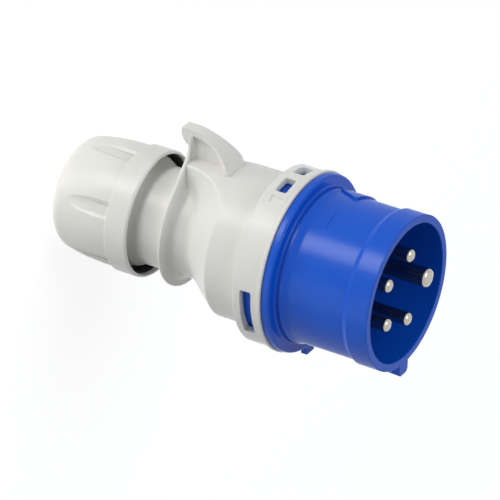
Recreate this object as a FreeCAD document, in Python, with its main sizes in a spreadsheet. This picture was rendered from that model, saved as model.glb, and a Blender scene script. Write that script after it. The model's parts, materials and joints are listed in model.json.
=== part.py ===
"""Pin and sleeve plug: five round pins in a round shroud, for a 16 A industrial socket.

The plug stands on the flat end of its cable nut. The origin is the centre of the cable
entry in that end face, +Z runs along the plug to the open mouth of the shroud, and +X
points to the thumb fin. All sizes are in millimetres.
"""
import FreeCAD, Part
import math
import os
import Sketcher

# Driving dimensions
# The name of each cell, its value, and what it measures.
SIZES = [
    ("spare", 1.0, "how far a cutter reaches past what it cuts"),
    ("overlap", 0.5, "how far a joined piece reaches into its neighbour"),
    ("mouth_height", 134.4, "end face of the nut to the rim of the shroud"),
    ("lip_height", 94.5, "end face of the nut to the front lip of the housing"),
    ("lip_radius", 33.1, "front lip of the housing"),
    ("lip_depth", 1.6, "length of the lip"),
    ("lip_slope", 0.5, "slanted rear edge of the lip"),
    ("housing_round", 0.4, "rounding of the lip and the ring"),
    ("ring_radius", 32.25, "collar ring of the housing"),
    ("ring_bore", 29.7, "socket in the ring that takes the insert"),
    ("ring_back", 83.1, "rear face of the collar ring"),
    ("ring_floor", 83.6, "bottom of the socket in the ring"),
    ("body_radius", 27.55, "hand grip behind the ring"),
    ("body_bore", 24.9, "wiring space behind the insert"),
    ("waist_radius", 17.9, "thumb groove"),
    ("waist_front", 54.8, "front end of the straight groove"),
    ("foot_radius", 19.2, "radius where the groove turns into the shoulder"),
    ("foot_height", 58.0, "height of that turn"),
    ("wiring_floor", 56.0, "where the wiring space starts to widen"),
    ("wiring_full", 70.2, "where the wiring space is full"),
    ("foot_blend", 6.0, "rounding of that turn"),
    ("scoop_radius", 30.89, "outer end of the groove cutter, on the line of the shoulder"),
    ("scoop_front", 73.4, "front end of the groove cutter"),
    ("scoop_turn", 45.5, "where the groove ends beside the fin, in degrees"),
    ("scoop_far", 45.0, "clear of the grip"),
    ("bar_inner", 10.0, "inner side of the bar that keeps the blend at the ends of the groove"),
    ("bar_back", 20.0, "rear side of that bar"),
    ("bar_half", 30.0, "half length of that bar"),
    ("core_radius", 16.9, "core of the grip, behind the groove"),
    ("grip_front", 79.0, "front end of the grooved part of the grip"),
    ("crease_round", 0.9, "rounding of the edge between groove and grip"),
    ("neck_radius", 18.1, "neck between the nut and the thumb plate"),
    ("neck_bore", 14.5, "cable way through the neck"),
    ("flare_front", 35.5, "where the neck starts to widen to the thread"),
    ("flare_back", 31.6, "front end of the thread"),
    ("flare_radius", 19.4, "rim at that end"),
    ("flare_blend", 6.5, "hollow curve from the neck to that rim"),
    ("thread_front", 31.0, "where the thread runs out"),
    ("thread_radius", 19.7, "thread of the neck"),
    ("neck_end", 12.0, "rear end of the neck"),
    ("cage_seat", 24.2, "shoulder that the clamp cage bears on"),
    ("cage_bore", 17.1, "counterbore for the clamp cage"),
    ("plate_radius", 22.5, "round part of the thumb plate"),
    ("plate_back", 46.7, "rear face of the thumb plate"),
    ("plate_middle", 47.35, "halfway through the thumb plate"),
    ("plate_front", 48.0, "front face of the thumb plate"),
    ("plate_edge", 0.55, "rounding of the edge of the thumb plate"),
    ("plate_fillet", 2.8, "blend of the thumb plate into the groove"),
    ("plate_side_x", 7.6955, "where the round edge ends, towards the fin"),
    ("plate_side_y", 21.1431, "the same place, across"),
    ("plate_side_bow", 28.196, "curve from there towards the fin"),
    ("plate_flat_x", 17.138, "where that curve turns straight"),
    ("plate_flat_y", 15.402, "the same place, across"),
    ("plate_root_x", 28.756, "where the straight side ends at the root of the fin"),
    ("plate_root_y", 4.718, "the same place, across"),
    ("plate_hollow", 6.1, "hollow curve into the side of the fin"),
    ("plate_fin_x", 32.037, "where the hollow curve meets the fin"),
    ("plate_fin_y", 3.168, "the same place, across"),
    ("plate_tip_x", 37.5, "top end of the plate behind the fin"),
    ("fin_inner_x", 15.0, "bottom of the fin, inside the grip"),
    ("fin_centre_x", 19.3, "centre of the arch of the fin, from the axis"),
    ("fin_centre_z", 47.2, "height of that centre"),
    ("fin_radius", 19.85, "outside of the arch"),
    ("fin_rim", 2.1, "thickness of the arch"),
    ("fin_end_x", 27.0, "front end of the arch, from the axis"),
    ("fin_end_z", 65.495, "height of that end"),
    ("fin_tip_half", 2.4, "half width of the fin at its tip"),
    ("fin_mid_half", 2.5, "half width of the fin where its sides start to spread"),
    ("fin_mid", 52.0, "height of that place"),
    ("fin_root_half", 3.634, "half width of the fin at its front end"),
    ("fin_root", 65.75, "height of that end"),
    ("fin_corner", 1.8, "rounded corner at that end"),
    ("fin_corner_half", 5.229, "half width of the fin where that corner starts"),
    ("fin_corner_z", 63.116, "height of that start"),
    ("fin_flare", 24.0, "curve of the sides from middle to corner"),
    ("fin_back", 43.75, "rear end of the hooked tip"),
    ("fin_hook_x", 36.9, "where the hook of the tip starts"),
    ("fin_hook_end_x", 32.8, "where the hook meets the thumb plate"),
    ("fin_seat_x", 32.2, "rear edge of the fin inside the thumb plate"),
    ("fin_hook_bow", 7.0, "hollow curve under the hook"),
    ("fin_side", 12.0, "half width of the fin blank"),
    ("fin_reach", 45.0, "clear of the fin"),
    ("web_half", 1.0, "half thickness of the web under the arch"),
    ("web_back", 48.3, "rear end of the hollows beside the web"),
    ("web_top_x", 37.02, "top of the web at that end"),
    ("web_end_x", 24.0, "front end of the web, from the axis"),
    ("web_end_z", 64.316, "height of that end"),
    ("web_blend", 1.2, "rounding of the hollows beside the web"),
    ("window_height", 4.4, "lock windows along the axis"),
    ("window_middle", 88.3, "height of the middle of the windows"),
    ("small_window", 7.7, "width of the two windows beside the fin"),
    ("long_window", 19.4, "width of the two side windows"),
    ("window_corner", 0.8, "corner radius of the windows"),
    ("window_inner", 26.7, "inner end of the cutters for the windows"),
    ("window_depth", 10.0, "depth of those cutters"),
    ("groove_radius", 31.1, "bayonet grooves inside the ring"),
    ("groove_back", 84.8, "rear wall of the bayonet grooves"),
    ("groove_length", 3.6, "length of the grooves along the axis"),
    ("lock_turn", 25.0, "turn from locked to open, in degrees"),
    ("lug_angle", 13.0, "width of each bayonet lug, in degrees"),
    ("lug_play", 1.0, "play of a lug in its groove on either side, in degrees"),
    ("lug_gap", 0.3, "the same along the axis"),
    ("lug_inner", 27.2, "inner side of the lugs, within the skirt"),
    ("lug_radius", 30.9, "outside of the bayonet lugs"),
    ("skirt_radius", 29.4, "part of the insert inside the ring"),
    ("skirt_bore", 26.2, "inside of that skirt"),
    ("skirt_back", 84.2, "rear edge of the skirt"),
    ("flange_radius", 32.45, "front flange of the insert"),
    ("flange_back", 94.75, "rear face of the flange"),
    ("flange_front", 97.7, "front face of the flange"),
    ("flange_edge", 0.9, "rounding of the flange"),
    ("ledge_radius", 28.3, "small step at the foot of the shroud"),
    ("ledge_front", 100.4, "front of that step"),
    ("ledge_end", 102.4, "where the slope in front of the step ends"),
    ("ledge_edge", 0.8, "hollow at the foot of that step"),
    ("ledge_slope", 3.0, "rounding at both ends of that slope"),
    ("shroud_radius", 27.45, "outside of the shroud"),
    ("shroud_bore", 25.5, "inside of the shroud"),
    ("band_radius", 28.45, "thicker band at the mouth"),
    ("band_back", 124.3, "where the shroud starts to thicken"),
    ("band_full", 126.2, "where the band is full"),
    ("rim_edge", 0.35, "rounding of the rim"),
    ("base_front", 93.5, "floor of the shroud, where the pins stand"),
    ("base_back", 86.5, "rear face of the floor"),
    ("tube_back", 75.0, "rear end of the terminal tubes"),
    ("tube_wall", 1.5, "wall of the terminal tubes"),
    ("pin_circle", 13.37, "circle that the pins stand on"),
    ("line_pin_radius", 2.5, "line and neutral pins"),
    ("earth_pin_radius", 3.5, "earth pin"),
    ("line_pin_tip", 133.9, "tip of the line and neutral pins"),
    ("earth_pin_tip", 136.0, "tip of the earth pin"),
    ("pin_dome", 1.4, "rounding of the tips"),
    ("pin_relief", 0.2, "how much thinner the pins are in the floor"),
    ("pin_root", 94.0, "where they reach their full thickness"),
    ("line_barrel", 4.0, "terminal barrel of a line pin"),
    ("earth_barrel", 4.6, "terminal barrel of the earth pin"),
    ("barrel_back", 74.6, "rear end of the barrels"),
    ("barrel_front", 86.4, "front end of the barrels"),
    ("wire_hole", 1.9, "wire hole in a barrel"),
    ("wire_depth", 9.5, "depth of the wire hole"),
    ("fit_gap", 0.04, "clearance around pins and screws"),
    ("screw_radius", 1.75, "terminal screw"),
    ("screw_length", 4.6, "length of a terminal screw"),
    ("screw_height", 79.6, "height of the terminal screws"),
    ("access_radius", 2.25, "hole for the driver in the insert"),
    ("access_length", 7.6, "length of that hole from the pin"),
    ("screw_slot", 0.7, "width of a driver slot"),
    ("slot_reach", 8.0, "size of the cutter for a slot"),
    ("rod_slot", 0.9, "depth of the slot in a terminal screw"),
    ("head_slot", 0.8, "depth of the slot in a plate screw"),
    ("screw_bite", 0.2, "how far a terminal screw stands in the wire hole"),
    ("boss_circle", 18.0, "circle of the plate screws"),
    ("boss_radius", 3.0, "boss for a plate screw"),
    ("pilot_radius", 1.25, "thread of a plate screw"),
    ("pilot_depth", 9.0, "depth of the thread in the boss"),
    ("pilot_gap", 1.0, "space before the tip of a plate screw"),
    ("head_radius", 2.5, "head of a plate screw"),
    ("head_height", 1.5, "height of that head"),
    ("cover_radius", 22.4, "terminal cover"),
    ("cover_back", 71.9, "rear face of the terminal cover"),
    ("cover_front", 74.3, "front face of the terminal cover"),
    ("cover_hole", 3.1, "wire holes in the cover"),
    ("cover_play", 0.2, "clearance of a plate screw in the cover"),
    ("gasket_seat", 28.2, "bottom of the gasket groove"),
    ("gasket_height", 92.0, "middle of the gasket groove"),
    ("gasket_radius", 0.7, "thickness of the gasket, as a radius"),
    ("gasket_play", 0.02, "clearance of the gasket in its groove"),
    ("key_left", 2.45, "key to the left of the middle, seen from the key"),
    ("key_right", 3.1, "key to the right of the middle"),
    ("key_base", 26.3, "inside of the key, within the shroud wall"),
    ("key_radius", 32.65, "top of the key at the rim"),
    ("key_ramp_radius", 32.4, "top of the key where its ramp starts"),
    ("key_ramp", 129.5, "height of that start"),
    ("key_low_radius", 31.0, "top of the key at the band"),
    ("key_root_radius", 30.8, "top of the key at the flange"),
    ("key_left_edge", 0.8, "rounding of the left edge of the key"),
    ("key_right_edge", 1.8, "rounding of the right edge of the key"),
    ("key_foot_radius", 35.7, "block on the rim of the flange, in line with the key"),
    ("key_foot_depth", 5.0, "depth of that block"),
    ("key_foot_front", 97.2, "front of that block"),
    ("key_foot_half", 2.45, "half width of that block"),
    ("pad_radius", 28.3, "raised pad in front of the flange"),
    ("pad_back", 96.7, "rear end of the pad, inside the flange"),
    ("pad_back_half", 0.9, "half width of the pad there"),
    ("pad_wide", 108.8, "height where the pad is widest"),
    ("pad_half", 8.6, "half width of the pad there"),
    ("pad_front", 110.0, "front edge of the pad"),
    ("pad_front_half", 7.9, "half width at that edge"),
    ("pad_inner", 25.7, "inner side of the pad, within the shroud wall"),
    ("pad_turn", -30.0, "middle of the pad, in degrees from the fin"),
    ("nut_radius", 22.45, "cable nut behind its collar"),
    ("nut_straight", 22.0, "height where the nut starts to taper"),
    ("nut_bend_radius", 20.7, "where the end of the nut starts to round off"),
    ("nut_bend", 5.0, "height of that start"),
    ("nut_flat", 15.4, "flat end face of the nut"),
    ("nut_bow", 78.0, "radius of the long curve of the side"),
    ("nut_corner", 6.5, "radius of the rounded end"),
    ("entry_radius", 9.5, "cable entry"),
    ("entry_length", 4.2, "end wall of the nut"),
    ("collar_back", 25.4, "rear edge of the collar"),
    ("collar_front", 34.3, "front edge of the collar"),
    ("collar_radius", 23.35, "collar of the nut"),
    ("collar_round", 1.05, "rounding of the front edge of the collar"),
    ("collar_bore", 22.2, "open front of the collar"),
    ("collar_floor", 27.0, "depth of the open front"),
    ("nut_bore", 20.5, "thread of the nut"),
    ("nut_step", 10.0, "where that thread ends"),
    ("nut_relief", 19.8, "bore behind the thread"),
    ("flute_radius", 5.4, "round cutter of the grip flutes"),
    ("flute_circle", 26.6, "circle of the axes of the flutes"),
    ("flute_start", 3.0, "rear end of the cutter, clear of the nut"),
    ("panel_half", 1.9, "half width of the flat in each flute"),
    ("panel_floor", 20.95, "bottom of the flat at the collar"),
    ("panel_rise", 0.5, "how much it rises towards its rear end"),
    ("panel_back", 13.0, "rear end of the flat"),
    ("panel_top", 24.0, "top of the flat's cutter, clear of the nut"),
    ("flute_count", 6, "number of flutes"),
    ("flute_turn", 8.5, "first flute, in degrees from the fin"),
    ("washer_thick", 1.1, "thrust washer"),
    ("washer_bore", 9.8, "hole of the thrust washer"),
    ("washer_radius", 19.6, "outside of the thrust washer"),
    ("seal_back", 5.5, "rear end of the cable seal"),
    ("seal_front", 23.8, "front end of the cable seal"),
    ("seal_radius", 14.4, "outside of the cable seal"),
    ("seal_bore", 7.0, "cable hole of the seal"),
    ("seal_round", 0.8, "rounding of that hole"),
    ("cage_radius", 16.9, "outside of the clamp cage"),
    ("cage_inside", 14.5, "inside of the clamp cage"),
    ("cage_tip_radius", 16.1, "outside of its fingers at the rear"),
    ("cage_full", 8.0, "height where the fingers are at their full size"),
    ("cage_front", 24.1, "front end of the clamp cage"),
    ("cage_gaps", 8, "number of slots in the cage"),
    ("cage_slot", 2.0, "width of the slots"),
    ("cage_root", 19.0, "front end of the slots"),
]
PIN_ANGLES = {"pin_line_1": 54, "pin_line_2": 126, "pin_line_3": 198, "pin_neutral": -18, "pin_earth": -90}
BOSS_ANGLES = [90, 234, 306]
LUG_ANGLES = [50, 180, 300]
WINDOWS = [(11, "small_window"), (-11, "small_window"), (104.6, "long_window"), (-104.6, "long_window")]

doc = FreeCAD.newDocument("PinAndSleevePlug")
sheet = doc.addObject("Spreadsheet::Sheet", "Sizes")
sizes = {}
for row, (word, number, meaning) in enumerate(SIZES, 1):
    sheet.set("A%d" % row, word)
    sheet.set("B%d" % row, str(number))
    sheet.set("C%d" % row, meaning)
    sheet.setAlias("B%d" % row, word)
    sizes[word] = number
doc.recompute()
nodes = []


def amount(text):
    """Value of a sum of cells and numbers, such as 'lip_height - lip_depth'."""
    total = 0.0
    sign = 1
    for word in str(text).split():
        if word in ("+", "-"):
            sign = 1 if word == "+" else -1
        else:
            total += sign * (sizes[word] if word in sizes else float(word))
    return total


def formula(text):
    """The same sum, written for the sheet's cells."""
    return " ".join("Sizes." + word if word in sizes else word for word in str(text).split())


def bind(thing, **settings):
    """Set properties of an object from sums of cells."""
    for name, text in settings.items():
        thing.setExpression(name, formula(text))


def finished(thing, label):
    """Name a finished piece and put it on the list of nodes."""
    thing.Label = label
    nodes.append(thing)
    return thing


def turned_about_z(angle, x=0.0, z=0.0):
    """Placement at distance x from the axis and height z, turned about the axis."""
    turn = FreeCAD.Rotation(FreeCAD.Vector(0, 0, 1), angle)
    return FreeCAD.Placement(turn.multVec(FreeCAD.Vector(x, 0, z)), turn)


# Sketches

def arc_between(first, last, radius):
    """Short arc from first to last; a negative radius turns clockwise."""
    chord = last - first
    side = FreeCAD.Vector(-chord.y, chord.x, 0).normalize()
    rise = math.sqrt(max(radius ** 2 - (chord.Length / 2) ** 2, 0))
    centre = (first + last) * 0.5 + side * math.copysign(rise, radius)
    angles = [math.atan2(p.y - centre.y, p.x - centre.x) for p in (first, last)]
    if radius < 0:
        angles.reverse()
    circle = Part.Circle(centre, FreeCAD.Vector(0, 0, 1), abs(radius))
    return Part.ArcOfCircle(circle, angles[0], angles[1])


def trace(sketch, outline):
    """Closed outline. A corner is (across, up), or (across, up, bend) after an arc of radius bend."""
    corners = [FreeCAD.Vector(amount(corner[0]), amount(corner[1]), 0) for corner in outline]
    sides = []
    for index, corner in enumerate(outline):
        first = corners[index - 1]
        last = corners[index]
        if len(corner) == 2:
            sides.append((sketch.addGeometry(Part.LineSegment(first, last), False), 1, 2))
            continue
        bend = amount(corner[2])
        side = sketch.addGeometry(arc_between(first, last, bend), False)
        sides.append((side, 1, 2) if bend > 0 else (side, 2, 1))
        rule = sketch.addConstraint(Sketcher.Constraint("Radius", side, abs(bend)))
        sketch.setExpression("Constraints[%d]" % rule, formula(str(corner[2]).lstrip("- ")))
    for index, corner in enumerate(outline):
        side, start, end = sides[index]
        after, after_start, after_end = sides[(index + 1) % len(sides)]
        sketch.addConstraint(Sketcher.Constraint("Coincident", side, end, after, after_start))
        for way, text in (("DistanceX", corner[0]), ("DistanceY", corner[1])):
            rule = sketch.addConstraint(Sketcher.Constraint(way, -1, 1, side, end, amount(text)))
            sketch.setExpression("Constraints[%d]" % rule, formula(text))


def sketch_in(body, role, outline):
    """Sketch with one outline on a plane of the body's own origin."""
    sketch = body.newObject("Sketcher::SketchObject", body.Name + "_sketch")
    base = next(item for item in body.Origin.OriginFeatures if item.Role == role)
    sketch.AttachmentSupport = [(base, "")]
    sketch.MapMode = "FlatFace"
    trace(sketch, outline)
    return sketch


def turned_body(name, outline, axis="V_Axis", gap="0"):
    """Body turned from an outline of (radius, height) corners, less a gap of twice the given angle."""
    body = doc.addObject("PartDesign::Body", name)
    sketch = sketch_in(body, "XZ_Plane", outline)
    turning = body.newObject("PartDesign::Revolution", name + "_turned")
    turning.Profile = sketch
    turning.ReferenceAxis = (sketch, [axis])
    turning.setExpression("Angle", "360 - 2 * (%s)" % formula(gap))
    doc.recompute()
    return body


def round_edges(body, places, radius):
    """Round the circular edges at the given (radius, height) places of a turned body."""
    base = body.Tip
    found = []
    for index, edge in enumerate(base.Shape.Edges, 1):
        if not isinstance(edge.Curve, Part.Circle) or abs(edge.Curve.Axis.z) < 0.99:
            continue
        for across, up in places:
            near = abs(edge.Curve.Radius - amount(across)) < 0.01
            if near and abs(edge.Curve.Center.z - amount(up)) < 0.01:
                found.append("Edge%d" % index)
    fillet = body.newObject("PartDesign::Fillet", body.Name + "_round")
    fillet.Base = (base, found)
    bind(fillet, Radius=radius)
    doc.recompute()


def outline_sketch(name, outline, placement):
    """Loose sketch for an extrusion."""
    sketch = doc.addObject("Sketcher::SketchObject", name)
    sketch.Placement = placement
    trace(sketch, outline)
    return sketch


def extrusion(name, sketch, along, length, back="0"):
    """Solid that runs from back behind the sketch to length in front of it."""
    solid = doc.addObject("Part::Extrusion", name)
    solid.Base = sketch
    solid.DirMode = "Custom"
    solid.Dir = along
    solid.Solid = True
    bind(solid, LengthFwd=length, LengthRev=back)
    return solid


def cylinder(name, radius, length, placement, angle=360):
    """Plain cylinder, or a slice of one."""
    solid = doc.addObject("Part::Cylinder", name)
    bind(solid, Radius=radius, Height=length)
    solid.Angle = angle
    solid.Placement = placement
    return solid


def softened(name, base, edges, radius):
    """Copy of the base with the numbered edges rounded."""
    fillet = doc.addObject("Part::Fillet", name)
    fillet.Base = base
    fillet.Edges = [(edge, amount(radius), amount(radius)) for edge in edges]
    return fillet


def joined(kind, name, pieces):
    """Part::MultiFuse or Part::MultiCommon of the pieces."""
    whole = doc.addObject(kind, name)
    whole.Shapes = pieces
    return whole


def cut(name, base, tools):
    """The base less all of the tools."""
    tool = tools[0] if len(tools) == 1 else joined("Part::MultiFuse", name + "_tools", tools)
    solid = doc.addObject("Part::Cut", name)
    solid.Base = base
    solid.Tool = tool
    return solid


# Sketch planes: the first coordinate of the sketch and the second, in the frame of the plug
SIDE_VIEW = FreeCAD.Placement(FreeCAD.Vector(), FreeCAD.Rotation(FreeCAD.Vector(1, 0, 0), 90))
TOP_VIEW = FreeCAD.Placement(FreeCAD.Vector(), FreeCAD.Rotation(FreeCAD.Vector(1, 1, 1), 120))
FLAT_VIEW = FreeCAD.Placement()
TO_FIN = FreeCAD.Vector(1, 0, 0)
TO_SIDE = FreeCAD.Vector(0, 1, 0)
TO_MOUTH = FreeCAD.Vector(0, 0, 1)


# Housing: one moulding with neck, thumb plate, fin, grip and collar ring

def housing_outside():
    """Turned outside of the housing, from the thread to the front lip."""
    outside = turned_body("housing_outside", [
        ("0", "neck_end"),
        ("thread_radius", "neck_end"),
        ("thread_radius", "thread_front"),
        ("flare_radius", "flare_back"),
        ("neck_radius", "flare_front", "- flare_blend"),
        ("neck_radius", "plate_middle"),
        ("core_radius", "plate_middle"),
        ("core_radius", "grip_front"),
        ("body_radius", "grip_front"),
        ("body_radius", "ring_back"),
        ("ring_radius", "ring_back"),
        ("ring_radius", "lip_height - lip_depth"),
        ("lip_radius", "lip_height - lip_depth + lip_slope"),
        ("lip_radius", "lip_height"),
        ("0", "lip_height"),
    ])
    round_edges(outside, [("body_radius", "ring_back"), ("ring_radius", "ring_back"),
                          ("lip_radius", "lip_height")], "housing_round")
    return outside


def housing_inside():
    """Turned hollow of the housing, open at both ends."""
    return turned_body("housing_inside", [
        ("0", "neck_end - spare"),
        ("cage_bore", "neck_end - spare"),
        ("cage_bore", "cage_seat"),
        ("neck_bore", "cage_seat"),
        ("neck_bore", "wiring_floor"),
        ("body_bore", "wiring_full"),
        ("body_bore", "ring_floor"),
        ("ring_bore", "ring_floor"),
        ("ring_bore", "lip_height + spare"),
        ("0", "lip_height + spare"),
    ])


def groove_end(name, angle):
    """Cutter for the rounded end of the thumb groove, less a bar that keeps the blend at its foot."""
    ball = turned_body(name + "_ball", [
        ("waist_radius", "0"),
        ("scoop_far", "0"),
        ("scoop_far", "scoop_front - plate_front"),
        ("scoop_radius", "scoop_front - plate_front"),
        ("foot_radius", "foot_height - plate_front"),
        ("waist_radius", "waist_front - plate_front", "foot_blend"),
    ], "H_Axis")
    ball.Placement = turned_about_z(angle, 0, amount("plate_front"))
    turned = turned_about_z(angle)
    bar = extrusion(name + "_bar", outline_sketch(name + "_bar_outline", [
        ("bar_inner", "bar_back"),
        ("scoop_far", "bar_back"),
        ("scoop_far", "plate_front"),
        ("waist_radius + plate_fillet", "plate_front"),
        ("waist_radius", "plate_front + plate_fillet", "- plate_fillet"),
        ("bar_inner", "plate_front + plate_fillet"),
    ], turned.multiply(SIDE_VIEW)), turned.Rotation.multVec(TO_SIDE), "bar_half", "bar_half")
    return cut(name, ball, [bar])


def grip():
    """Barrel of the housing with the thumb groove, which stops beside the fin."""
    barrel = cylinder("grip_barrel", "body_radius", "grip_front - plate_front",
                      turned_about_z(0, 0, amount("plate_front")))
    groove = turned_body("thumb_groove", [
        ("waist_radius + plate_fillet", "plate_front", "plate_fillet"),
        ("scoop_radius", "plate_front"),
        ("scoop_radius", "scoop_front"),
        ("foot_radius", "foot_height"),
        ("waist_radius", "waist_front", "foot_blend"),
        ("waist_radius", "plate_front + plate_fillet"),
    ], gap="scoop_turn")
    turn = amount("scoop_turn")
    groove.Placement = turned_about_z(turn)
    ends = [groove_end("groove_end_1", turn), groove_end("groove_end_2", -turn)]
    grooved = cut("grooved_grip", barrel, [groove] + ends)
    doc.recompute()
    creases = []
    for index, edge in enumerate(grooved.Shape.Edges, 1):
        box = edge.BoundBox
        tips = (edge.valueAt(edge.FirstParameter), edge.valueAt(edge.LastParameter))
        on_barrel = all(abs(math.hypot(tip.x, tip.y) - amount("body_radius")) < 0.01 for tip in tips)
        lifted = amount("plate_front + spare") < box.ZMax < amount("grip_front - spare")
        if on_barrel and lifted and box.YLength > amount("spare"):
            creases.append(index)
    return softened("grip", grooved, creases, "crease_round")


def thumb_plate():
    """Plate that the thumb pushes against, drawn out to the fin."""
    plate = extrusion("plate_blank", outline_sketch("plate_outline", [
        ("0 - plate_radius", "0", "plate_radius"),
        ("plate_side_x", "0 - plate_side_y", "plate_radius"),
        ("plate_flat_x", "0 - plate_flat_y", "plate_side_bow"),
        ("plate_root_x", "0 - plate_root_y"),
        ("plate_fin_x", "0 - plate_fin_y", "- plate_hollow"),
        ("plate_tip_x", "0 - fin_tip_half"),
        ("plate_tip_x", "fin_tip_half"),
        ("plate_fin_x", "plate_fin_y"),
        ("plate_root_x", "plate_root_y", "- plate_hollow"),
        ("plate_flat_x", "plate_flat_y"),
        ("plate_side_x", "plate_side_y", "plate_side_bow"),
    ], FLAT_VIEW), TO_MOUTH, "plate_front", "0 - plate_back")
    doc.recompute()
    rims = [index for index, edge in enumerate(plate.Shape.Edges, 1)
            if abs(edge.tangentAt(edge.FirstParameter).z) < 0.1]
    return softened("thumb_plate", plate, rims, "plate_edge")


def fin():
    """Hooked thumb fin: a curved rim on a thin web, wider at its root."""
    side = extrusion("fin_side", outline_sketch("fin_profile", [
        ("fin_inner_x", "plate_middle"),
        ("fin_seat_x", "plate_middle"),
        ("fin_hook_end_x", "plate_back"),
        ("fin_hook_x", "fin_back", "fin_hook_bow"),
        ("fin_centre_x + fin_radius", "fin_back"),
        ("fin_centre_x + fin_radius", "fin_centre_z"),
        ("fin_end_x", "fin_end_z", "fin_radius"),
        ("fin_inner_x", "fin_end_z"),
    ], SIDE_VIEW), TO_SIDE, "fin_side", "fin_side")
    plan = extrusion("fin_plan", outline_sketch("fin_outline", [
        ("0 - fin_tip_half", "fin_back - spare"),
        ("fin_tip_half", "fin_back - spare"),
        ("fin_mid_half", "fin_mid"),
        ("fin_corner_half", "fin_corner_z", "- fin_flare"),
        ("fin_root_half", "fin_root", "fin_corner"),
        ("0 - fin_root_half", "fin_root"),
        ("0 - fin_corner_half", "fin_corner_z", "fin_corner"),
        ("0 - fin_mid_half", "fin_mid", "- fin_flare"),
    ], TOP_VIEW), TO_FIN, "fin_reach")
    hollow = extrusion("fin_hollow", outline_sketch("hollow_outline", [
        ("fin_centre_x", "web_back"),
        ("web_top_x", "web_back"),
        ("web_end_x", "web_end_z", "fin_radius - fin_rim"),
        ("fin_centre_x", "web_end_z"),
    ], SIDE_VIEW), TO_SIDE, "fin_side", "0 - web_half")
    doc.recompute()
    seams = []
    for index, edge in enumerate(hollow.Shape.Edges, 1):
        box = edge.BoundBox
        if box.YMax < amount("web_half") + 0.01 and box.XMax > amount("web_end_x + spare"):
            seams.append(index)
    near = softened("hollow_left", hollow, seams, "web_blend")
    far = doc.addObject("Part::Mirroring", "hollow_right")
    far.Source = near
    far.Normal = TO_SIDE
    return cut("fin", joined("Part::MultiCommon", "fin_blank", [side, plan]), [near, far])


def lock_window(number, angle, width):
    """Cutter for a window in the ring, with rounded corners."""
    block = doc.addObject("Part::Box", "window_%d" % number)
    bind(block, Length="window_depth", Width=width, Height="window_height")
    block.Placement.Base = FreeCAD.Vector(0, -amount(width) / 2, -amount("window_height") / 2)
    doc.recompute()
    corners = [index for index, edge in enumerate(block.Shape.Edges, 1)
               if abs(edge.tangentAt(edge.FirstParameter).x) > 0.9]
    cutter = softened("window_cutter_%d" % number, block, corners, "window_corner")
    cutter.Placement = turned_about_z(angle, amount("window_inner"), amount("window_middle"))
    return cutter


def bayonet_way(number, angle):
    """Cutter for one bayonet groove with its entry from the front lip."""
    start = angle - amount("lug_angle") / 2 - amount("lug_play")
    groove = cylinder("groove_%d" % number, "groove_radius", "groove_length",
                      turned_about_z(start, 0, amount("groove_back")),
                      amount("lug_angle + lock_turn + lug_play + lug_play"))
    entry = cylinder("entry_%d" % number, "groove_radius", "lip_height - groove_back + spare",
                     turned_about_z(start + amount("lock_turn"), 0, amount("groove_back")),
                     amount("lug_angle + lug_play + lug_play"))
    return [groove, entry]


def housing():
    """Grey housing moulding."""
    blank = joined("Part::MultiFuse", "housing_blank", [housing_outside(), grip(), thumb_plate(), fin()])
    tools = [housing_inside()]
    for number, (angle, width) in enumerate(WINDOWS):
        tools.append(lock_window(number, angle, width))
    for number, angle in enumerate(LUG_ANGLES):
        tools += bayonet_way(number, angle)
    return finished(cut("housing", blank, tools), "housing")


# Cable gland: nut, washer, clamp cage and seal

def cap_nut():
    """Cable nut with a collar and pointed grip flutes."""
    nut = turned_body("nut_blank", [
        ("entry_radius", "0"),
        ("nut_flat", "0"),
        ("nut_bend_radius", "nut_bend", "nut_corner"),
        ("nut_radius", "nut_straight", "nut_bow"),
        ("nut_radius", "collar_back"),
        ("collar_radius", "collar_back"),
        ("collar_radius", "collar_front"),
        ("collar_bore", "collar_front"),
        ("collar_bore", "collar_floor"),
        ("nut_bore", "collar_floor"),
        ("nut_bore", "nut_step"),
        ("nut_relief", "nut_step"),
        ("nut_relief", "entry_length"),
        ("entry_radius", "entry_length"),
    ])
    round_edges(nut, [("collar_radius", "collar_front")], "collar_round")
    round_edges(nut, [("collar_radius", "collar_back"), ("collar_bore", "collar_front")], "housing_round")
    tools = []
    for number in range(sizes["flute_count"]):
        turned = turned_about_z(amount("flute_turn") + number * 360 / sizes["flute_count"])
        axis = turned.multiply(turned_about_z(0, amount("flute_circle"), amount("flute_start")))
        tools.append(cylinder("flute_%d" % number, "flute_radius", "collar_back - flute_start", axis))
        tools.append(extrusion("panel_%d" % number, outline_sketch("panel_outline_%d" % number, [
            ("panel_floor + panel_rise", "panel_back"),
            ("panel_top", "panel_back"),
            ("panel_top", "collar_back"),
            ("panel_floor", "collar_back"),
        ], turned.multiply(SIDE_VIEW)), turned.Rotation.multVec(TO_SIDE), "panel_half", "panel_half"))
    return finished(cut("cap_nut", nut, tools), "cap_nut")


def thrust_washer():
    """Flat ring between the nut and the seal."""
    return finished(turned_body("thrust_washer", [
        ("washer_bore", "entry_length"),
        ("washer_radius", "entry_length"),
        ("washer_radius", "entry_length + washer_thick"),
        ("washer_bore", "entry_length + washer_thick"),
    ]), "thrust_washer")


def polar(body, feature, count):
    """Repeat a feature of the body evenly about Z."""
    axis = next(item for item in body.Origin.OriginFeatures if item.Role == "Z_Axis")
    pattern = body.newObject("PartDesign::PolarPattern", body.Name + "_pattern")
    pattern.Originals = [feature]
    pattern.Axis = (axis, [""])
    pattern.Angle = 360
    bind(pattern, Occurrences=count)
    body.Tip = pattern


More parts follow.
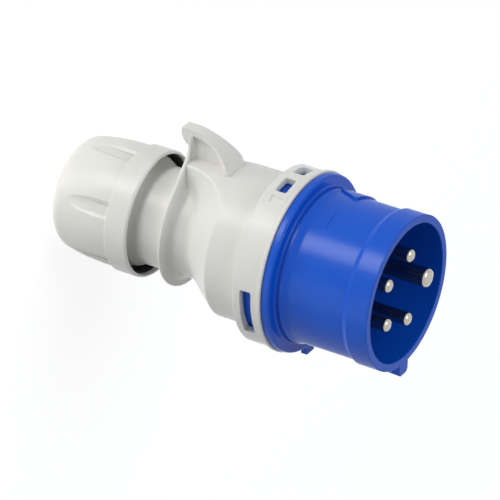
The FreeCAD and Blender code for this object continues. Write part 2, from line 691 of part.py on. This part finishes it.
def clamp_cage():
    """Slotted cage whose fingers close on the seal."""
    cage = turned_body("clamp_cage", [
        ("cage_inside", "seal_back"),
        ("cage_tip_radius", "seal_back"),
        ("cage_radius", "cage_full"),
        ("cage_radius", "cage_front"),
        ("cage_inside", "cage_front"),
    ])
    slot = cage.newObject("PartDesign::SubtractiveBox", "cage_gap")
    bind(slot, Length="cage_radius + spare", Width="cage_slot", Height="cage_root")
    slot.Placement.Base = FreeCAD.Vector(0, -amount("cage_slot") / 2, 0)
    polar(cage, slot, "cage_gaps")
    return finished(cage, "clamp_cage")


def cable_seal():
    """Rubber sleeve that the cage presses on the cable."""
    seal = turned_body("cable_seal", [
        ("seal_bore", "seal_back"),
        ("seal_radius", "seal_back"),
        ("seal_radius", "seal_front"),
        ("seal_bore", "seal_front"),
    ])
    round_edges(seal, [("seal_bore", "seal_back"), ("seal_bore", "seal_front")], "seal_round")
    return finished(seal, "cable_seal")


# Insert: shroud, floor with the pins, terminals and their cover

def at_pin(angle, x=0.0, z=0.0):
    """Placement on the pin circle, x further out, at height z."""
    return turned_about_z(angle, amount("pin_circle") + x, z)


def pin_sizes(name):
    """Cells for the radius, barrel and tip of a pin."""
    kind = "earth" if name == "pin_earth" else "line"
    return kind + "_pin_radius", kind + "_barrel", kind + "_pin_tip"


def radial(angle, start, height):
    """Placement that lays a cylinder outwards from start."""
    return turned_about_z(angle, start, height).multiply(
        FreeCAD.Placement(FreeCAD.Vector(), FreeCAD.Rotation(TO_SIDE, 90)))


def insert_shell():
    """Turned shroud with its flange, floor and rear skirt."""
    shell = turned_body("insert_shell", [
        ("0", "base_back"),
        ("skirt_bore", "base_back"),
        ("skirt_bore", "skirt_back"),
        ("skirt_radius", "skirt_back"),
        ("skirt_radius", "gasket_height - gasket_radius"),
        ("gasket_seat", "gasket_height - gasket_radius"),
        ("gasket_seat", "gasket_height + gasket_radius"),
        ("skirt_radius", "gasket_height + gasket_radius"),
        ("skirt_radius", "flange_back"),
        ("flange_radius", "flange_back"),
        ("flange_radius", "flange_front"),
        ("ledge_radius", "flange_front"),
        ("ledge_radius", "ledge_front"),
        ("shroud_radius", "ledge_end"),
        ("shroud_radius", "band_back"),
        ("band_radius", "band_full"),
        ("band_radius", "mouth_height"),
        ("shroud_bore", "mouth_height"),
        ("shroud_bore", "base_front"),
        ("0", "base_front"),
    ])
    round_edges(shell, [("flange_radius", "flange_front")], "flange_edge")
    round_edges(shell, [("ledge_radius", "flange_front")], "ledge_edge")
    round_edges(shell, [("ledge_radius", "ledge_front"), ("shroud_radius", "ledge_end")], "ledge_slope")
    round_edges(shell, [("band_radius", "mouth_height"), ("shroud_bore", "mouth_height"),
                        ("flange_radius", "flange_back")], "rim_edge")
    return shell


def key_rib():
    """Key opposite the fin: a rib on the shroud, raised at the rim, with unlike rounded edges."""
    rib = extrusion("key_blank", outline_sketch("key_profile", [
        ("0 - key_base", "flange_front - spare"),
        ("0 - key_base", "mouth_height"),
        ("0 - key_radius", "mouth_height"),
        ("0 - key_ramp_radius", "key_ramp"),
        ("0 - key_low_radius", "band_back"),
        ("0 - key_root_radius", "flange_front - spare"),
    ], SIDE_VIEW), TO_SIDE, "key_left", "key_right")
    doc.recompute()
    rounded = []
    for index, edge in enumerate(rib.Shape.Edges, 1):
        box = edge.BoundBox
        if box.XMax > amount("spare - key_root_radius") or box.YLength > amount("spare"):
            continue
        half = amount("key_left_edge" if box.YMax > 0 else "key_right_edge")
        rounded.append((index, half, half))
    fillet = doc.addObject("Part::Fillet", "key_rib")
    fillet.Base = rib
    fillet.Edges = rounded
    return fillet


def key_foot():
    """Block on the rim of the flange, in line with the key."""
    block = doc.addObject("Part::Box", "key_foot")
    bind(block, Length="key_foot_depth", Width="key_foot_half + key_foot_half",
         Height="key_foot_front - flange_back")
    block.Placement.Base = FreeCAD.Vector(-amount("key_foot_radius"), -amount("key_foot_half"),
                                          amount("flange_back"))
    return block


def latch_pad():
    """Raised pad on the shroud beside the fin, wider towards the mouth."""
    turned = turned_about_z(amount("pad_turn"))
    outline = extrusion("pad_blank", outline_sketch("pad_outline", [
        ("0 - pad_back_half", "pad_back"),
        ("pad_back_half", "pad_back"),
        ("pad_half", "pad_wide"),
        ("pad_front_half", "pad_front"),
        ("0 - pad_front_half", "pad_front"),
        ("0 - pad_half", "pad_wide"),
    ], turned.multiply(TOP_VIEW)), turned.Rotation.multVec(TO_FIN), "pad_radius + spare", "0 - pad_inner")
    barrel = cylinder("pad_barrel", "pad_radius", "pad_front - pad_back + spare + spare",
                      turned_about_z(0, 0, amount("pad_back - spare")))
    return joined("Part::MultiCommon", "latch_pad", [outline, barrel])


def ring_sector(name, radius, inside, start, length, angles):
    """Part of a ring between two angles."""
    slab = cylinder(name + "_slice", radius, length, turned_about_z(angles[0], 0, amount(start)),
                    angles[1] - angles[0])
    core = cylinder(name + "_core", inside, length, turned_about_z(0, 0, amount(start)))
    return cut(name, slab, [core])


def plug_insert():
    """Blue insert moulding."""
    solids = [insert_shell(), key_rib(), key_foot(), latch_pad()]
    tools = []
    half = amount("lug_angle") / 2
    for number, angle in enumerate(LUG_ANGLES):
        solids.append(ring_sector("lug_%d" % number, "lug_radius", "lug_inner", "groove_back + lug_gap",
                                  "groove_length - lug_gap - lug_gap", (angle - half, angle + half)))
    for name, angle in PIN_ANGLES.items():
        pin, barrel = pin_sizes(name)[:2]
        solids.append(cylinder(name + "_tube", barrel + " + fit_gap + tube_wall",
                               "base_back - tube_back + overlap", at_pin(angle, 0, amount("tube_back"))))
        tools.append(cylinder(name + "_bore", barrel + " + fit_gap", "base_back - tube_back + spare",
                              at_pin(angle, 0, amount("tube_back - spare"))))
        tools.append(cylinder(name + "_hole", pin + " - pin_relief + fit_gap",
                              "base_front - base_back + spare + spare",
                              at_pin(angle, 0, amount("base_back - spare"))))
        tools.append(cylinder(name + "_access", "access_radius", "access_length",
                              radial(angle, amount("pin_circle"), amount("screw_height"))))
    for number, angle in enumerate(BOSS_ANGLES):
        solids.append(cylinder("boss_%d" % number, "boss_radius", "base_back - cover_front + overlap",
                               turned_about_z(angle, amount("boss_circle"), amount("cover_front"))))
        tools.append(cylinder("boss_hole_%d" % number, "pilot_radius + fit_gap", "pilot_depth",
                              turned_about_z(angle, amount("boss_circle"), amount("cover_front"))))
    blank = joined("Part::MultiFuse", "insert_blank", solids)
    return finished(cut("plug_insert", blank, tools), "plug_insert")


def contact_pin(name, angle):
    """Round pin, one piece with its terminal barrel."""
    pin, barrel, tip = pin_sizes(name)
    body = turned_body(name + "_body", [
        ("wire_hole", "barrel_back"),
        (barrel, "barrel_back"),
        (barrel, "barrel_front"),
        (pin + " - pin_relief", "barrel_front"),
        (pin + " - pin_relief", "pin_root"),
        (pin, "pin_root"),
        (pin, tip + " - pin_dome"),
        (pin + " - pin_dome", tip, "pin_dome"),
        ("0", tip),
        ("0", "barrel_back + wire_depth"),
        ("wire_hole", "barrel_back + wire_depth"),
    ])
    body.Placement = at_pin(angle)
    thread = cylinder(name + "_thread", "screw_radius + fit_gap", "earth_barrel + spare",
                      radial(angle, amount("pin_circle"), amount("screw_height")))
    return finished(cut(name, body, [thread]), name)


def slotted_screw(name, shape, slot_at):
    """Screw less the slot for its driver."""
    slot = doc.addObject("Part::Box", name + "_slot")
    bind(slot, Length="slot_reach", Width="screw_slot", Height="slot_reach")
    middle = FreeCAD.Vector(-amount("slot_reach") / 2, -amount("screw_slot") / 2, 0)
    slot.Placement = slot_at.multiply(FreeCAD.Placement(middle, FreeCAD.Rotation()))
    return finished(cut(name, shape, [slot]), name)


def terminal_screw(name, angle):
    """Grub screw that holds the wire in a barrel."""
    start = amount("pin_circle + wire_hole - screw_bite")
    height = amount("screw_height")
    rod = cylinder(name + "_rod", "screw_radius", "screw_length", radial(angle, start, height))
    slot_at = radial(angle, start + amount("screw_length - rod_slot"), height)
    return slotted_screw(name, rod, slot_at)


def cover_screw(name, angle):
    """Screw that holds the terminal cover to a boss."""
    body = turned_body(name + "_body", [
        ("0", "cover_back - head_height"),
        ("head_radius", "cover_back - head_height"),
        ("head_radius", "cover_back"),
        ("pilot_radius", "cover_back"),
        ("pilot_radius", "cover_front + pilot_depth - pilot_gap"),
        ("0", "cover_front + pilot_depth - pilot_gap"),
    ])
    body.Placement = turned_about_z(angle, amount("boss_circle"))
    slot_at = turned_about_z(angle, amount("boss_circle"),
                             amount("cover_back - head_height - slot_reach + head_slot"))
    return slotted_screw(name, body, slot_at)


def terminal_cover():
    """Disc behind the terminals, with holes for the wires."""
    disc = cylinder("cover_disc", "cover_radius", "cover_front - cover_back",
                    turned_about_z(0, 0, amount("cover_back")))
    tools = []
    for name, angle in PIN_ANGLES.items():
        tools.append(cylinder(name + "_wire_way", "cover_hole", "cover_front - cover_back + spare + spare",
                              at_pin(angle, 0, amount("cover_back - spare"))))
    for number, angle in enumerate(BOSS_ANGLES):
        tools.append(cylinder("cover_screw_way_%d" % number, "pilot_radius + cover_play",
                              "cover_front - cover_back + spare + spare",
                              turned_about_z(angle, amount("boss_circle"), amount("cover_back - spare"))))
    return finished(cut("terminal_cover", disc, tools), "terminal_cover")


def insert_gasket():
    """Round rubber ring between the insert and the housing."""
    ring = doc.addObject("Part::Torus", "insert_gasket")
    bind(ring, Radius1="gasket_seat + gasket_radius", Radius2="gasket_radius - gasket_play")
    ring.Placement = turned_about_z(0, 0, amount("gasket_height"))
    return finished(ring, "insert_gasket")


def check(thing):
    """Stop if an object failed, or if a finished piece isn't one valid solid."""
    if any(state in ("Invalid", "Error") for state in thing.State):
        raise RuntimeError("failed: " + thing.Name)
    if thing not in nodes:
        return
    shape = thing.Shape
    if shape.isNull() or not shape.isValid() or len(shape.Solids) != 1:
        raise RuntimeError("not one valid solid: " + thing.Label)


housing()
cap_nut()
thrust_washer()
clamp_cage()
cable_seal()
plug_insert()
insert_gasket()
terminal_cover()
for pin_name, pin_angle in PIN_ANGLES.items():
    contact_pin(pin_name, pin_angle)
    terminal_screw(pin_name.replace("pin_", "screw_"), pin_angle)
for screw_number, boss_angle in enumerate(BOSS_ANGLES, 1):
    cover_screw("cover_screw_%d" % screw_number, boss_angle)
doc.recompute()
for item in doc.Objects:
    check(item)
os.makedirs("parts", exist_ok=True)
for node in nodes:
    node.Shape.exportStep("parts/%s.step" % node.Label)
    print("%-16s %9.1f mm3" % (node.Label, node.Shape.Volume))
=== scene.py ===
"""Looks of the pin and sleeve plug: finishes, small relief, studio and camera."""
import bmesh
import bpy
import json
import math
from mathutils import Matrix, Vector


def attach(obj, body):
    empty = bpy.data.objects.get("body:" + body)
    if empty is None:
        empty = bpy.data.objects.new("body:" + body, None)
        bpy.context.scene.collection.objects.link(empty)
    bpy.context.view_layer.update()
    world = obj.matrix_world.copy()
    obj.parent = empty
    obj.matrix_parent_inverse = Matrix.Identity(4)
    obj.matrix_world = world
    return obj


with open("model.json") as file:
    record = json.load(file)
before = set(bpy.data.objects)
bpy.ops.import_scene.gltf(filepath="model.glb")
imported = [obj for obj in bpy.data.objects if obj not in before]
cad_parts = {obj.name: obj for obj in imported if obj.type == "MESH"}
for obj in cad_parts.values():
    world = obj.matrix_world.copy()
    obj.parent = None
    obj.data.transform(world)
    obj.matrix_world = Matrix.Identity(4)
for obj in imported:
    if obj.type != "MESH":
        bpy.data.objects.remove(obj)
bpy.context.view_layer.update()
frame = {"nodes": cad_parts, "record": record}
MM = 0.001

# Camera: the photograph's view, in degrees and metres, its lens and sensor in millimetres
VIEW_AZIMUTH = 56.5185
VIEW_ELEVATION = 25.334
VIEW_ROLL = 107.7734
VIEW_DISTANCE = 2.26496
VIEW_TARGET = Vector((-0.001832, 0.001211, 0.07206))
VIEW_LENS = 465.55
SENSOR = 36.0
VIEW_REACH = 20.0

# Studio: each lamp's name, azimuth and elevation in degrees, diameter in metres, watts and colour
LAMP_DISTANCE = 2.4
LAMPS = [
    ("key_lamp", 45, -58, 1.0, 18, (1.0, 0.985, 0.955)),
    ("sheen_lamp", 29, -25, 1.0, 21, (1.0, 0.985, 0.95)),
    ("top_lamp", 12, 62, 1.6, 21, (0.92, 0.965, 1.0)),
    ("fill_lamp", 100, -25, 1.6, 5, (1, 1, 1)),
    ("back_lamp", 236, -12, 1.6, 15, (1, 1, 1)),
]
WORLD_COLOUR = (0.93, 0.96, 1.0, 1)
WORLD_STRENGTH = 0.31
FLOOR_HALF = 6.0
FLOOR_COLOUR = (0.92, 0.92, 0.92, 1)
FLOOR_GLOW = 1.31
FLOOR_GLOW_SHARE = 0.62

# Finishes: noise in features per metre, depth in metres
NOISE_LOW = 0.3
NOISE_HIGH = 0.7
MOTTLE_SCALE = 45.0
GRAIN_SCALE = 2600.0
GRAIN_DETAIL = 2.0
GRAIN_DEPTH = 0.00005
ROUGHNESS_SPREAD = 0.04
SKIN_ROUGHNESS = 0.26
EDGE_SAMPLES = 6
STAIN_SCALE = 90.0
STAIN_SPREAD = 0.03
RUBBER_SHADE = 0.7

# Relief, in millimetres; the flank is a share of a line's half width
LINE_STEPS = 8
LINE_FLANK = 0.6
LINE_SINK = 0.1
THREAD_PITCH = 3.0
THREAD_STEPS = 60
THREAD_RUN_OUT = 12
THREAD_FOOT = 0.6
THREAD_TOP = 0.2
RING_STEPS = 96


# Camera and studio

def direction(azimuth, elevation):
    """Unit vector from the target towards an azimuth and an elevation."""
    a = math.radians(azimuth)
    e = math.radians(elevation)
    return Vector((math.cos(a) * math.cos(e), math.sin(a) * math.cos(e), math.sin(e)))


def camera_axes():
    """Right, up and back vectors of the rolled camera."""
    back = direction(VIEW_AZIMUTH, VIEW_ELEVATION)
    level_right = Vector((0, 0, 1)).cross(back).normalized()
    level_up = back.cross(level_right)
    roll = math.radians(VIEW_ROLL)
    right = level_right * math.cos(roll) + level_up * math.sin(roll)
    return right, back.cross(right), back


def place_camera():
    """Camera at the photograph's place."""
    right, up, back = camera_axes()
    data = bpy.data.cameras.new("camera")
    data.lens = VIEW_LENS
    data.sensor_width = SENSOR
    data.clip_end = VIEW_REACH
    camera = bpy.data.objects.new("camera", data)
    turn = Matrix((right, up, back)).transposed().to_4x4()
    camera.matrix_world = Matrix.Translation(VIEW_TARGET + back * VIEW_DISTANCE) @ turn
    bpy.context.scene.collection.objects.link(camera)
    bpy.context.scene.camera = camera


def softbox(name, azimuth, elevation, size, power, colour):
    """Round area lamp in a direction from the plug, aimed at it."""
    place = VIEW_TARGET + direction(azimuth, elevation) * LAMP_DISTANCE
    data = bpy.data.lights.new(name, "AREA")
    data.shape = "DISK"
    data.size = size
    data.energy = power
    data.color = colour
    lamp = bpy.data.objects.new(name, data)
    turn = (VIEW_TARGET - place).to_track_quat("-Z", "Y").to_matrix().to_4x4()
    lamp.matrix_world = Matrix.Translation(place) @ turn
    bpy.context.scene.collection.objects.link(lamp)


def seen_directly(nodes, links):
    """1 on rays that show the backdrop itself: to the camera, in a reflection or through glass."""
    path = nodes.new("ShaderNodeLightPath")
    shown = path.outputs["Is Camera Ray"]
    for kind in ("Is Glossy Ray", "Is Transmission Ray"):
        either = nodes.new("ShaderNodeMath")
        either.operation = "MAXIMUM"
        links.new(shown, either.inputs[0])
        links.new(path.outputs[kind], either.inputs[1])
        shown = either.outputs[0]
    return shown


def studio():
    """World that lights evenly and shows white, and the soft lamps, most of them low as in the photograph."""
    scene = bpy.context.scene
    scene.view_settings.view_transform = "Standard"
    world = bpy.data.worlds.new("studio")
    world.use_nodes = True
    scene.world = world
    nodes = world.node_tree.nodes
    links = world.node_tree.links
    nodes.clear()
    out = nodes.new("ShaderNodeOutputWorld")
    light = nodes.new("ShaderNodeBackground")
    light.inputs["Color"].default_value = WORLD_COLOUR
    light.inputs["Strength"].default_value = WORLD_STRENGTH
    white = nodes.new("ShaderNodeBackground")
    white.inputs["Color"].default_value = (1, 1, 1, 1)
    white.inputs["Strength"].default_value = 1.0
    mix = nodes.new("ShaderNodeMixShader")
    links.new(seen_directly(nodes, links), mix.inputs[0])
    links.new(light.outputs[0], mix.inputs[1])
    links.new(white.outputs[0], mix.inputs[2])
    links.new(mix.outputs[0], out.inputs["Surface"])
    for lamp in LAMPS:
        softbox(*lamp)


def floor():
    """Large pale floor that shows white and keeps the shadow; the low lamps shine through it.

    It rides on the washer, so that the plug still stands on the end of its nut when the nut is unscrewed.
    """
    mesh = bpy.data.meshes.new("floor")
    corners = [(x * FLOOR_HALF, y * FLOOR_HALF, 0) for x, y in ((-1, -1), (1, -1), (1, 1), (-1, 1))]
    mesh.from_pydata(corners, [], [(0, 1, 2, 3)])
    sheet = bpy.data.objects.new("floor", mesh)
    bpy.context.scene.collection.objects.link(sheet)
    material = bpy.data.materials.new("floor_white")
    material.use_nodes = True
    nodes = material.node_tree.nodes
    links = material.node_tree.links
    nodes.clear()
    out = nodes.new("ShaderNodeOutputMaterial")
    matt = nodes.new("ShaderNodeBsdfDiffuse")
    matt.inputs["Color"].default_value = FLOOR_COLOUR
    glow = nodes.new("ShaderNodeEmission")
    glow.inputs["Strength"].default_value = FLOOR_GLOW
    share = nodes.new("ShaderNodeMath")
    share.operation = "MULTIPLY"
    share.inputs[1].default_value = FLOOR_GLOW_SHARE
    mix = nodes.new("ShaderNodeMixShader")
    links.new(seen_directly(nodes, links), share.inputs[0])
    links.new(share.outputs[0], mix.inputs[0])
    links.new(matt.outputs[0], mix.inputs[1])
    links.new(glow.outputs[0], mix.inputs[2])
    links.new(mix.outputs[0], out.inputs["Surface"])
    mesh.materials.append(material)
    sheet.visible_shadow = False
    sheet.visible_glossy = False
    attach(sheet, "washer")


# Materials

def new_material(name, colour, roughness, metallic=0.0):
    """Principled material with its basic values on the shader."""
    material = bpy.data.materials.new(name)
    material.use_nodes = True
    shader = material.node_tree.nodes["Principled BSDF"]
    shader.inputs["Base Color"].default_value = (*colour, 1)
    shader.inputs["Roughness"].default_value = roughness
    shader.inputs["Metallic"].default_value = metallic
    return material, shader


def noise(material, scale, detail=4.0):
    """Noise in the plug's own coordinates; scale is in features per metre."""
    nodes = material.node_tree.nodes
    place = nodes.new("ShaderNodeTexCoord")
    pattern = nodes.new("ShaderNodeTexNoise")
    pattern.inputs["Scale"].default_value = scale
    pattern.inputs["Detail"].default_value = detail
    material.node_tree.links.new(place.outputs["Object"], pattern.inputs["Vector"])
    return pattern


def ramp(material, source, low, high):
    """Spread the usual range of a noise between two values."""
    node = material.node_tree.nodes.new("ShaderNodeMapRange")
    node.inputs["To Min"].default_value = low
    node.inputs["To Max"].default_value = high
    node.inputs["From Min"].default_value = NOISE_LOW
    node.inputs["From Max"].default_value = NOISE_HIGH
    material.node_tree.links.new(source, node.inputs["Value"])
    return node.outputs["Result"]


def moulded_plastic(name, colour, darker, roughness, grain, edge, gloss, skin=0.0):
    """Injection-moulded plastic: faint mottling, fine spark-eroded grain, soft edges and a glossy skin."""
    material, shader = new_material(name, colour, roughness)
    nodes = material.node_tree.nodes
    links = material.node_tree.links
    shader.inputs["Specular IOR Level"].default_value = gloss
    shader.inputs["Coat Weight"].default_value = skin
    shader.inputs["Coat Roughness"].default_value = SKIN_ROUGHNESS
    mottle = noise(material, MOTTLE_SCALE).outputs["Fac"]
    mix = nodes.new("ShaderNodeMix")
    mix.data_type = "RGBA"
    mix.inputs["A"].default_value = (*darker, 1)
    mix.inputs["B"].default_value = (*colour, 1)
    links.new(ramp(material, mottle, 0.0, 1.0), mix.inputs["Factor"])
    links.new(mix.outputs["Result"], shader.inputs["Base Color"])
    spread = ramp(material, mottle, roughness - ROUGHNESS_SPREAD, roughness + ROUGHNESS_SPREAD)
    links.new(spread, shader.inputs["Roughness"])
    texture = noise(material, GRAIN_SCALE, GRAIN_DETAIL)
    bump = nodes.new("ShaderNodeBump")
    bump.inputs["Strength"].default_value = grain
    bump.inputs["Distance"].default_value = GRAIN_DEPTH
    soft = nodes.new("ShaderNodeBevel")
    soft.samples = EDGE_SAMPLES
    soft.inputs["Radius"].default_value = edge
    links.new(texture.outputs["Fac"], bump.inputs["Height"])
    links.new(soft.outputs["Normal"], bump.inputs["Normal"])
    links.new(bump.outputs["Normal"], shader.inputs["Normal"])
    return material


def plated_metal(name, colour, roughness):
    """Plated metal with faint stains in its gloss."""
    material, shader = new_material(name, colour, roughness, 1.0)
    stain = noise(material, STAIN_SCALE).outputs["Fac"]
    spread = ramp(material, stain, roughness - STAIN_SPREAD, roughness + STAIN_SPREAD)
    material.node_tree.links.new(spread, shader.inputs["Roughness"])
    return material


def rubber(name, colour):
    """Matt black rubber with fine bloom."""
    darker = tuple(c * RUBBER_SHADE for c in colour)
    return moulded_plastic(name, colour, darker, roughness=0.62, grain=0.5, edge=0.0002, gloss=0.3)


def dress():
    """Give each CAD node its finish."""
    grey = moulded_plastic("grey_plastic", (0.755, 0.745, 0.705), (0.735, 0.725, 0.685),
                           roughness=0.36, grain=0.22, edge=0.0004, gloss=0.36)
    blue = moulded_plastic("blue_plastic", (0.004, 0.094, 0.60), (0.003, 0.089, 0.58),
                           roughness=0.34, grain=0.22, edge=0.0005, gloss=0.0, skin=0.5)
    nickel = plated_metal("nickel_plate", (0.47, 0.44, 0.385), roughness=0.20)
    steel = plated_metal("zinc_steel", (0.66, 0.67, 0.68), roughness=0.34)
    nylon = moulded_plastic("white_nylon", (0.72, 0.70, 0.64), (0.69, 0.67, 0.61),
                            roughness=0.5, grain=0.25, edge=0.0003, gloss=0.3)
    black = rubber("black_rubber", (0.02, 0.02, 0.02))
    finishes = {"grey_plastic": grey, "blue_plastic": blue, "nickel_plate": nickel, "zinc_steel": steel,
                "white_nylon": nylon, "black_rubber": black}
    slots = {row["node"]: row["material_slot"] for row in frame["record"]["subparts"]}
    for name, node in frame["nodes"].items():
        node.data.materials.clear()
        node.data.materials.append(finishes[slots[name]])
    return finishes


# Relief that the solids leave out

def place_on(azimuth, radius, height):
    """Point at an azimuth in degrees, a radius and a height in millimetres, in metres."""
    a = math.radians(azimuth)
    return Vector((math.cos(a) * radius, math.sin(a) * radius, height)) * MM


def piece(name, rings, capped, finish, body):
    """Closed mesh through rings of points that rides on a body; its ends are capped or joined to each other."""
    count = len(rings[0])
    last = len(rings) - 1
    faces = []
    for index in range(last if capped else last + 1):
        here = index * count
        there = (index + 1) % len(rings) * count
        for side in range(count):
            after = (side + 1) % count
            faces.append((here + side, here + after, there + after, there + side))
    if capped:
        faces.append(tuple(reversed(range(count))))
        faces.append(tuple(range(last * count, (last + 1) * count)))
    mesh = bpy.data.meshes.new(name)
    mesh.from_pydata([point for ring in rings for point in ring], [], faces)
    shape = bmesh.new()
    shape.from_mesh(mesh)
    if shape.calc_volume(signed=True) < 0:
        bmesh.ops.reverse_faces(shape, faces=shape.faces)
    shape.to_mesh(mesh)
    shape.free()
    mesh.materials.append(finish)
    thing = bpy.data.objects.new(name, mesh)
    bpy.context.scene.collection.objects.link(thing)
    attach(thing, body)
    return thing


def raised_line(name, radius, corners, width, proud, finish, body):
    """Fine raised line on a cylinder, through (azimuth, height) corners."""
    steps = []
    for first, last in zip(corners, corners[1:]):
        turn = last[0] - first[0]
        rise = last[1] - first[1]
        steps += [(first[0] + turn * k / LINE_STEPS, first[1] + rise * k / LINE_STEPS)
                  for k in range(LINE_STEPS)]
    steps.append(corners[-1])
    section = ((-1, -LINE_SINK), (-LINE_FLANK, proud), (LINE_FLANK, proud), (1, -LINE_SINK))
    arc = math.radians(1) * radius
    rings = []
    for index, (azimuth, height) in enumerate(steps):
        before = steps[max(index - 1, 0)]
        after = steps[min(index + 1, len(steps) - 1)]
        along = Vector(((after[0] - before[0]) * arc, after[1] - before[1])).normalized()
        across = Vector((-along.y / arc, along.x)) * width / 2
        rings.append([place_on(azimuth + across.x * side, radius + lift, height + across.y * side)
                      for side, lift in section])
    return piece(name, rings, True, finish, body)


def thread_ridge(name, root, crest, start, end, shift, finish, body):
    """Right-hand helical ridge between two radii, which fades out at its ends."""
    count = int((end - start) / THREAD_PITCH * THREAD_STEPS)
    rings = []
    for index in range(count + 1):
        height = start + THREAD_PITCH * index / THREAD_STEPS
        azimuth = 360.0 * (height + shift) / THREAD_PITCH
        fade = min(1.0, index / THREAD_RUN_OUT, (count - index) / THREAD_RUN_OUT)
        top = root + (crest - root) * fade
        section = ((root, -THREAD_FOOT), (top, -THREAD_TOP), (top, THREAD_TOP), (root, THREAD_FOOT))
        rings.append([place_on(azimuth, radius, height + rise) for radius, rise in section])
    return piece(name, rings, True, finish, body)


def turned_ring(name, profile, finish, body):
    """Ring turned from (radius, height) corners."""
    rings = [[place_on(360 * step / RING_STEPS, radius, height) for radius, height in profile]
             for step in range(RING_STEPS)]
    return piece(name, rings, False, finish, body)


def relief(finishes):
    """Marks on the ring and the shroud, the thread of the gland, and a black lining in the nut's collar that is
    painted shade.
    """
    grey = finishes["grey_plastic"]
    blue = finishes["blue_plastic"]
    black = finishes["black_rubber"]
    raised_line("ring_mark", 32.25, [(26.8, 86.5), (22.1, 86.3), (22.9, 90.2)],
                0.5, 0.25, grey, "grip")
    raised_line("shroud_mark", 27.45, [(12.0, 108.3), (28.7, 108.7)],
                0.3, 0.12, blue, "insert")
    thread_ridge("neck_thread", 19.65, 20.3, 13.0, 30.4, 0.0, grey, "grip")
    thread_ridge("nut_thread", 20.55, 19.9, 11.0, 26.4, 1.5, grey, "nut")
    # Black lining on the floor and inner wall of the nut's collar: painted shade, a dark piece put where the
    # inside of the collar lies in shadow
    shade_lining_section = [(20.7, 26.95), (22.25, 26.95), (22.25, 32.4), (21.8, 32.4), (21.6, 28.0), (20.7, 27.7)]
    turned_ring("shade_lining", shade_lining_section, black, "nut")


place_camera()
studio()
floor()
relief(dress())
